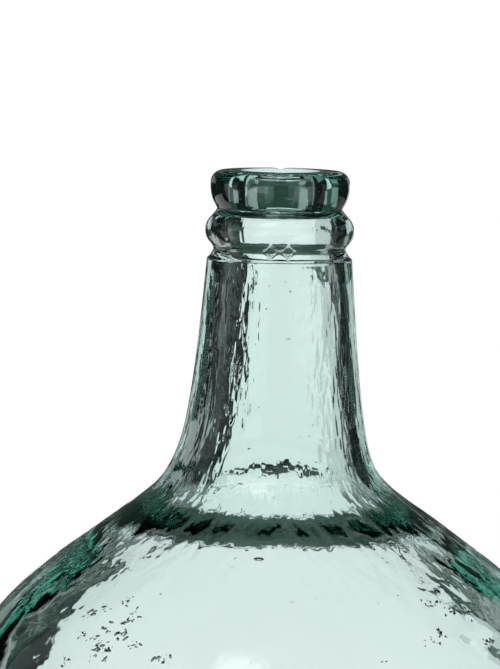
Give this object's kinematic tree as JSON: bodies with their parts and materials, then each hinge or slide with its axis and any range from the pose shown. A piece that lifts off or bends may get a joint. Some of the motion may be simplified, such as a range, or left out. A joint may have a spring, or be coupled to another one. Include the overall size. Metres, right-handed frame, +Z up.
{
  "type": "glass carboy",
  "caption": "Globe-shaped hollow glass carboy with a long flared neck, a double-ring open mouth and a pushed-up base, for fermenting and storing wine or beer.",
  "frame": {"origin": "centre of the base, on the plane the vessel stands on", "axes": "+Z up along the vessel's axis of revolution, towards the mouth; +X and +Y are any two level directions, with the two mould seams on the -Y and +Y sides"},
  "size_m": [0.4, 0.4, 0.56],
  "materials": {
    "glass": "clear aqua-green recycled glass with vertical ripples in the neck, small seeds and a mould seam"
  },
  "bodies": {
    "root": {"glass_vessel": "glass"}
  },
  "joints": []
}
